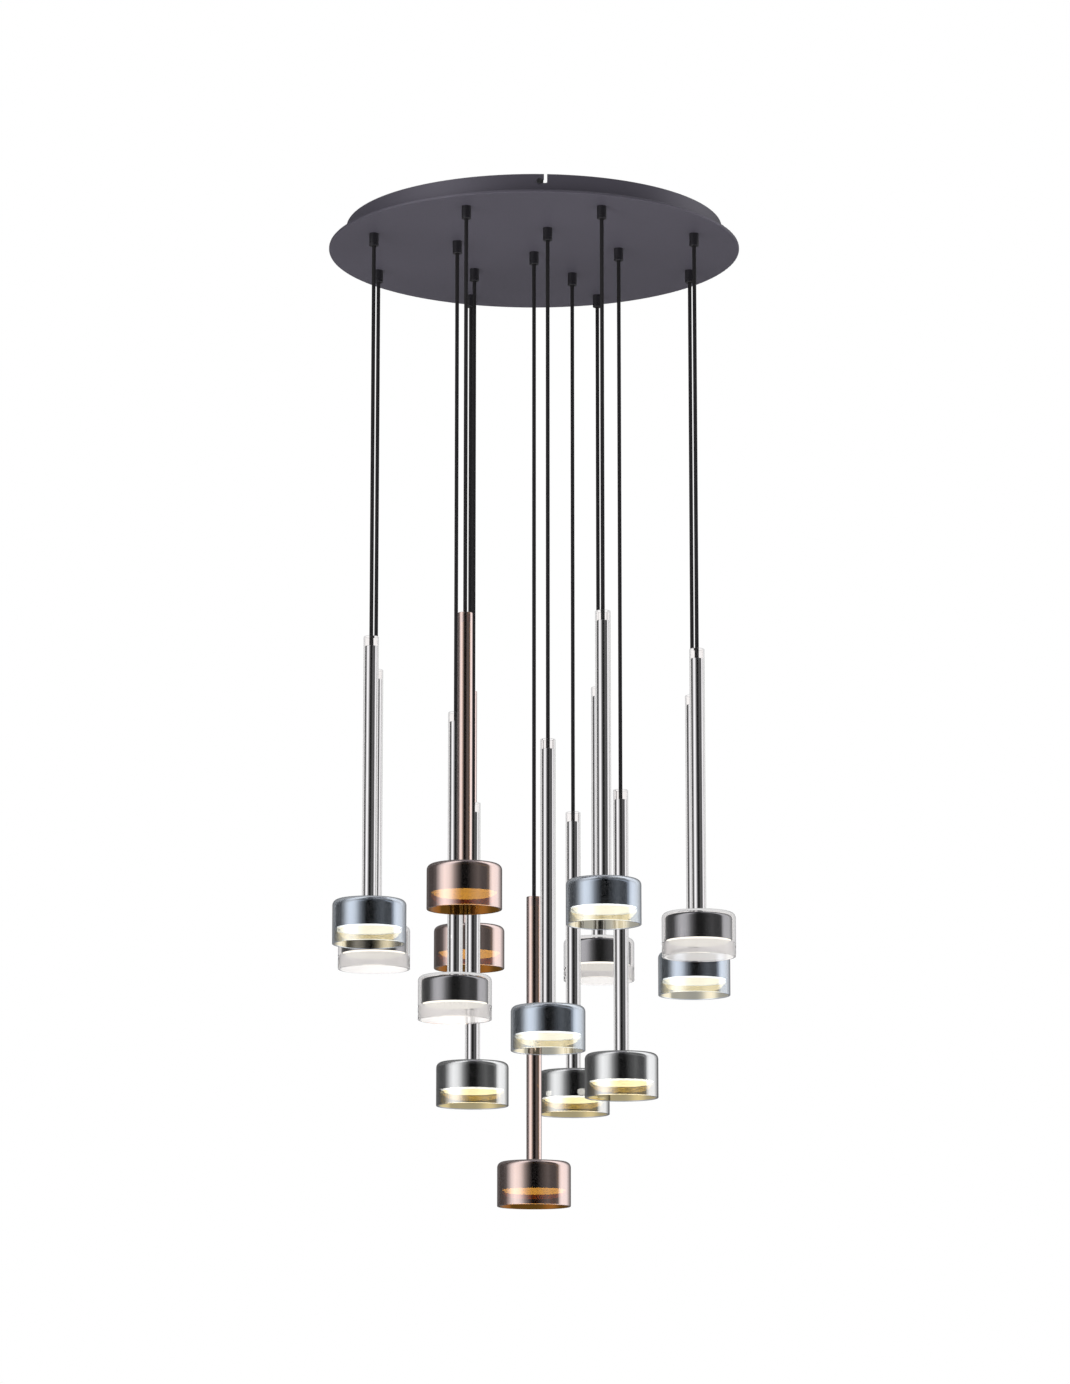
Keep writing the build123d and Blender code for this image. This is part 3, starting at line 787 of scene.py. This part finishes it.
# ---------------------------------------------------------------- operators
class PENDANT_OT_canopy(bpy.types.Operator):
    """Paint the canopy plate and hoop, and plate the bracket above them"""

    bl_idname = "pendant.canopy"
    bl_label = "Canopy"

    def execute(self, context):
        finishes = context.scene.pendant_finishes
        paint = paint_material(tuple(finishes.paint))
        zinc = metal_material(
            "zinc_steel", (0.60, 0.60, 0.62), roughness=0.28, grain_scale=200.0, spread=0.10
        )
        for node in ("canopy_plate", "canopy_hoop"):
            dress(node, paint)
        for node in (
            "ceiling_bracket", "bracket_arms", "bracket_studs", "flange_screws", "driver_screws",
            "terminal_screws", "gland_locknuts",
        ):
            dress(node, zinc)
        return {"FINISHED"}


class PENDANT_OT_supply(bpy.types.Operator):
    """Finish the drivers, terminal block, earth stud and lead connectors inside the canopy"""

    bl_idname = "pendant.supply"
    bl_label = "Supply parts"

    def execute(self, context):
        white = moulded_material("driver_white", (0.80, 0.80, 0.79), roughness=0.45)
        ivory = moulded_material("terminal_ivory", (0.78, 0.75, 0.66), roughness=0.4)
        grey = moulded_material("connector_grey", (0.42, 0.43, 0.45), roughness=0.35)
        brass = metal_material("brass", (0.78, 0.58, 0.28), roughness=0.22)
        for node, material in (
            ("led_driver_1", white),
            ("led_driver_2", white),
            ("terminal_block", ivory),
            ("lead_connectors", grey),
            ("earth_stud", brass),
            ("earth_nut", brass),
        ):
            dress(node, material)
        return {"FINISHED"}


class PENDANT_OT_glands(bpy.types.Operator):
    """Make the fourteen cord glands below the canopy plate"""

    bl_idname = "pendant.glands"
    bl_label = "Cord glands"

    def execute(self, context):
        sizes, finishes = context.scene.pendant_sizes, context.scene.pendant_finishes
        black = moulded_material("gland_black", tuple(finishes.gland), roughness=0.38)
        outline = gland_outline(sizes)
        parts = [
            turned_arrays(outline, (place["x"], place["y"], 0.0), SMALL_FACES)[:2]
            for place in PLACES.values()
        ]
        glands = new_object("glands", *joined(parts), [black])
        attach(glands, "canopy")
        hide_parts("cord_glands")
        dress("gland_grub_screws", metal_material("grub_steel", (0.20, 0.20, 0.21), roughness=0.3))
        return {"FINISHED"}


class PENDANT_OT_cords(bpy.types.Operator):
    """Hang the fourteen cords from their glands to their stems"""

    bl_idname = "pendant.cords"
    bl_label = "Cords"

    def execute(self, context):
        sizes, finishes = context.scene.pendant_sizes, context.scene.pendant_finishes
        black = cord_material(tuple(finishes.cord))
        dress("cord_tails", black)
        for number, place in PLACES.items():
            top, end = place["pivot"], place["stem_top"]
            curve = bpy.data.curves.new(f"cord_line_{number}", "CURVE")
            curve.dimensions = "3D"
            spline = curve.splines.new("NURBS")
            spline.points.add(2)
            for point, z in zip(spline.points, (top, (top + end) / 2, end)):
                point.co = (place["x"], place["y"], z, 1.0)
            spline.order_u = 3
            spline.use_endpoint_u = True
            curve.bevel_depth = sizes.cord_diameter / 2
            curve.bevel_resolution = 6
            curve.use_fill_caps = True
            curve.materials.append(black)
            cord = bpy.data.objects.new(f"hanging_cord_{number}", curve)
            context.scene.collection.objects.link(cord)
            leave_out_of_mirrors(cord)
            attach(cord, f"pendant_{number}")
            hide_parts(f"cord_{number}")
        return {"FINISHED"}


class PENDANT_OT_glass(bpy.types.Operator):
    """Make the glass sleeve and the glass shade of every lamp"""

    bl_idname = "pendant.glass"
    bl_label = "Sleeves and shades"

    def execute(self, context):
        sizes, finishes = context.scene.pendant_sizes, context.scene.pendant_finishes
        glasses = coats(finishes)
        shade_section, shade_slots = shade_outline(sizes)
        for number, place in PLACES.items():
            finish = place["finish"]
            centre = (place["x"], place["y"], place["rim"] + sizes.shade_height)
            shade = turned(
                f"shade_{number}", shade_section, centre, sizes.segments, glasses[finish],
                row_slots=shade_slots,
            )
            section, slots = sleeve_outline(sizes, place["sleeve_top"] - centre[2])
            sleeve_glass = glasses["copper" if finish == "copper" else "clear"][:2]
            sleeve = turned(f"sleeve_{number}", section, centre, TUBE_FACES, sleeve_glass, row_slots=slots)
            leave_out_of_mirrors(shade)
            leave_out_of_mirrors(sleeve)
            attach(shade, f"pendant_{number}")
            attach(sleeve, f"pendant_{number}")
            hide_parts(f"glass_{number}")
        return {"FINISHED"}


class PENDANT_OT_lamps(bpy.types.Operator):
    """Make the chrome stem, collar and cap, the heat sink, the LED board and the diffuser of every lamp"""

    bl_idname = "pendant.lamps"
    bl_label = "Lamps"

    def execute(self, context):
        sizes, finishes = context.scene.pendant_sizes, context.scene.pendant_finishes
        chrome = metal_material("polished_chrome", tuple(finishes.chrome), roughness=0.0)
        bright = metal_material("bright_cap", tuple(finishes.bright_cap), roughness=0.01)
        caps = {
            "clear": metal_material("dark_cap", tuple(finishes.dark_cap), roughness=0.01),
            "blue": metal_material("blue_cap", tuple(finishes.blue_cap), roughness=0.01),
            "smoke": bright,
            "copper": bright,
        }
        alloy = metal_material(
            "cast_alloy", (0.55, 0.55, 0.57), roughness=0.35, grain_scale=300.0, spread=0.1
        )
        rubber = moulded_material("washer_rubber", (0.03, 0.03, 0.03), roughness=0.6)
        nylon = moulded_material("plug_nylon", (0.02, 0.02, 0.02), roughness=0.5)
        board_white = moulded_material("board_white", (0.82, 0.82, 0.80), roughness=0.4)
        diode = moulded_material("diode_yellow", (0.80, 0.66, 0.20), roughness=0.4)
        glow, strength = tuple(finishes.light), finishes.light_strength
        opal = light_material("lit_opal", glow, strength)
        warm = light_material("lit_opal_warm", glow, strength * WARM_LIGHT)
        strong = light_material("lit_opal_strong", glow, strength * STRONG_LIGHT)
        lights = {"clear": opal, "blue": warm, "smoke": strong, "copper": strong}
        segments = sizes.segments
        for number, place in PLACES.items():
            at = lamp_levels(sizes, place)
            cap_metal, light = caps[place["finish"]], lights[place["finish"]]
            board, board_slots = led_board_arrays(at)
            pieces = [
                turned(f"collar_{number}", collar_outline(sizes, at), at.centre, TUBE_FACES, [chrome]),
                turned(f"stem_{number}", stem_outline(at), at.centre, TUBE_FACES, [chrome]),
                turned(f"plug_{number}", plug_outline(at), at.centre, PLUG_FACES, [nylon], closed=False),
                turned(f"washer_{number}", washer_outline(sizes, at), at.centre, SMALL_FACES, [rubber]),
                turned(f"cap_{number}", cap_outline(sizes, at), at.centre, segments, [cap_metal]),
                turned(f"stem_nut_{number}", nut_outline(at), at.centre, NUT_SIDES, [alloy], smooth=False),
                turned(f"light_ring_{number}", light_ring_outline(at), at.centre, segments, [light]),
                turned(
                    f"diffuser_{number}", diffuser_outline(at), at.centre, segments, [light], closed=False
                ),
                new_object(f"heat_sink_{number}", *heat_sink_arrays(sizes, at), [alloy]),
                new_object(f"led_board_{number}", *board, [board_white, diode], board_slots, smooth=False),
            ]
            for piece in pieces:
                if piece.name.removesuffix(f"_{number}") not in LIT_PIECES:
                    leave_out_of_mirrors(piece)
                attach(piece, f"pendant_{number}")
            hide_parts(f"lamp_{number}")
        return {"FINISHED"}


class PENDANT_OT_stage(bpy.types.Operator):
    """Set up the pale studio: floor, soft lights, surroundings and camera"""

    bl_idname = "pendant.stage"
    bl_label = "Studio"

    def execute(self, context):
        make_floor()
        make_surroundings()
        make_lights()
        make_camera()
        context.scene.view_settings.view_transform = "Standard"
        return {"FINISHED"}


# ---------------------------------------------------------------- studio
FLOOR_LEVEL = -2.6
FLOOR_SIZE = 60.0
FLOOR_GLOW = 0.42             # what brings the floor to white for the camera
# bright panels and dark flags around the object: degrees round from the front, positive to the right,
# and how bright that direction is
PANELS = [
    (-180, 0.12), (-150, 0.10), (-134, 0.05), (-112, 0.06), (-97, 0.12), (-84, 0.52), (-75, 0.95),
    (-62, 1.20), (-48, 1.05), (-40, 0.80), (-29, 0.34), (-20, 0.14), (-12, 0.045), (-6, 0.003),
    (10, 0.003), (16, 0.02), (28, 0.07), (44, 0.13), (56, 0.09), (70, 0.08), (81, 0.14), (88, 0.85),
    (97, 1.15), (122, 1.00), (138, 0.45), (152, 0.14), (180, 0.12),
]
WHITE = (1.0, 1.0, 1.0, 1.0)
WALL_GREY = (0.75, 0.75, 0.75, 1.0)       # where light bounced inside one wall of glass
SOFT_GREY = (0.62, 0.62, 0.64, 1.0)       # the light on paint, plastic and the floor
# each light's place, the length of its sides and its power in watts
LIGHTS = {
    "key_panel": ((-3.2, -3.6, -1.6), 2.4, 60.0),
    "fill_panel": ((3.6, -2.4, -1.2), 2.4, 7.0),
    "floor_panel": ((0.0, -0.4, -2.5), 2.4, 55.0),
}
LIGHTS_AIM = (0.0, 0.0, -0.6)
CAMERA_PLACE = (0.0014, -6.379, -1.902)
CAMERA_PITCH = 10.76          # degrees upwards
CAMERA_LENS = 117.5           # millimetres
CAMERA_SENSOR = 36.0          # millimetres, the picture's long side
CAMERA_REACH = 100.0


def make_floor():
    """Lay a pale floor that shows white to the camera, and keeps the object's shadow."""
    half = FLOOR_SIZE / 2
    u, v = np.meshgrid(np.linspace(-half, half, 2), np.linspace(-half, half, 2), indexing="xy")
    verts = np.stack([u.ravel(), v.ravel(), np.full(4, FLOOR_LEVEL)], 1)
    material, nodes, links, shader = new_material("studio_floor")
    set_inputs(shader, {"Roughness": 0.8, "Specular IOR Level": 0.1, "Emission Color": (1.0, 1.0, 1.0)})
    tone = noise(nodes, links, 0.4, 1.0)
    links.new(ramp(nodes, links, tone, (0.90, 0.90, 0.90), (0.92, 0.92, 0.92)), shader.inputs["Base Color"])
    path = nodes.new("ShaderNodeLightPath")
    glow = ramp(nodes, links, path.outputs["Is Camera Ray"], 0.0, FLOOR_GLOW, 0.0, 1.0)
    links.new(glow, shader.inputs["Emission Strength"])
    floor = new_object("studio_floor", verts, np.array([(0, 1, 3, 2)]), [material], smooth=False)
    leave_out_of_mirrors(floor)


def panel_light(nodes, links):
    """Return how bright each direction is: the panels in order over the turn atan2(x, -y)."""
    coordinates = nodes.new("ShaderNodeTexCoord")
    split = nodes.new("ShaderNodeSeparateXYZ")
    links.new(coordinates.outputs["Generated"], split.inputs["Vector"])
    front = calculate(nodes, links, "MULTIPLY", split.outputs["Y"], -1.0)
    turn = calculate(nodes, links, "ARCTAN2", split.outputs["X"], front)
    share = nodes.new("ShaderNodeMapRange")
    share.inputs["From Min"].default_value = -math.pi
    share.inputs["From Max"].default_value = math.pi
    links.new(turn, share.inputs["Value"])
    panels = nodes.new("ShaderNodeValToRGB")
    elements = panels.color_ramp.elements
    for angle, brightness in PANELS[1:-1]:
        elements.new((angle + 180) / 360)
    for element, (angle, brightness) in zip(elements, PANELS):
        element.position = (angle + 180) / 360
        element.color = (brightness, brightness, brightness, 1.0)
    links.new(share.outputs["Result"], panels.inputs["Fac"])
    return panels.outputs["Color"]


def make_surroundings():
    """White behind the object, and panels and flags around it that the metal and glass reflect."""
    world = bpy.data.worlds.new("studio")
    bpy.context.scene.world = world
    world.use_nodes = True
    nodes, links = world.node_tree.nodes, world.node_tree.links
    path = nodes.new("ShaderNodeLightPath").outputs
    # light that bounced inside one wall of glass has gone through an odd number of surfaces
    walled = calculate(nodes, links, "MODULO", path["Transmission Depth"], 2.0)
    reflected = blend(nodes, links, walled, panel_light(nodes, links), WALL_GREY)
    mirrored = calculate(nodes, links, "MAXIMUM", path["Is Glossy Ray"], path["Is Transmission Ray"])
    unseen = blend(nodes, links, mirrored, SOFT_GREY, reflected)
    # white for what is seen directly or through glass, but not for what metal inside the glass mirrors
    unmirrored = calculate(nodes, links, "LESS_THAN", path["Glossy Depth"], 0.5)
    through = calculate(nodes, links, "MULTIPLY", path["Is Transmission Ray"], unmirrored)
    seen = calculate(nodes, links, "MAXIMUM", path["Is Camera Ray"], through)
    background = nodes["Background"]
    links.new(blend(nodes, links, seen, unseen, WHITE), background.inputs["Color"])
    background.inputs["Strength"].default_value = 1.0


def make_lights():
    """Large soft panels, front left and right and below, that the object doesn't mirror."""
    for name, (place, size, power) in LIGHTS.items():
        lamp = bpy.data.lights.new(name, "AREA")
        lamp.shape = "SQUARE"
        lamp.size = size
        lamp.energy = power
        light = bpy.data.objects.new(name, lamp)
        light.location = place
        aim = Vector(LIGHTS_AIM) - Vector(place)
        light.rotation_euler = aim.to_track_quat("-Z", "Y").to_euler()
        light.visible_glossy = False
        light.visible_transmission = False
        bpy.context.scene.collection.objects.link(light)


def make_camera():
    """A long lens below the lamps that looks slightly up."""
    lens = bpy.data.cameras.new("camera")
    lens.lens = CAMERA_LENS
    lens.sensor_width = CAMERA_SENSOR
    lens.clip_end = CAMERA_REACH
    camera = bpy.data.objects.new("camera", lens)
    camera.location = CAMERA_PLACE
    camera.rotation_euler = Euler((math.radians(90 + CAMERA_PITCH), 0.0, 0.0))
    bpy.context.scene.collection.objects.link(camera)
    bpy.context.scene.camera = camera


# ---------------------------------------------------------------- panel and registration
class PENDANT_PT_panel(bpy.types.Panel):
    """The pendant's pieces, in the order in which they are made"""

    bl_idname = "PENDANT_PT_panel"
    bl_label = "Cluster Pendant"
    bl_space_type = "VIEW_3D"
    bl_region_type = "UI"
    bl_category = "Pendant"

    def draw(self, context):
        column = self.layout.column(align=True)
        for operator in STEPS:
            column.operator(operator.bl_idname)
        for group in (context.scene.pendant_sizes, context.scene.pendant_finishes):
            box = self.layout.box()
            for name in group.__annotations__:
                box.prop(group, name)


STEPS = (
    PENDANT_OT_stage,
    PENDANT_OT_cords,
    PENDANT_OT_canopy,
    PENDANT_OT_glands,
    PENDANT_OT_supply,
    PENDANT_OT_glass,
    PENDANT_OT_lamps,
)
CLASSES = (PENDANT_PG_sizes, PENDANT_PG_finishes, *STEPS, PENDANT_PT_panel)


def register():
    """Add the classes and their settings to Blender."""
    for cls in CLASSES:
        bpy.utils.register_class(cls)
    bpy.types.Scene.pendant_sizes = bpy.props.PointerProperty(type=PENDANT_PG_sizes)
    bpy.types.Scene.pendant_finishes = bpy.props.PointerProperty(type=PENDANT_PG_finishes)


def unregister():
    """Take the classes and their settings out again."""
    del bpy.types.Scene.pendant_finishes
    del bpy.types.Scene.pendant_sizes
    for cls in reversed(CLASSES):
        bpy.utils.unregister_class(cls)


def main():
    """Make every piece in order."""
    register()
    for operator in STEPS:
        group, name = operator.bl_idname.split(".")
        getattr(getattr(bpy.ops, group), name)()


if __name__ == "__main__":
    main()
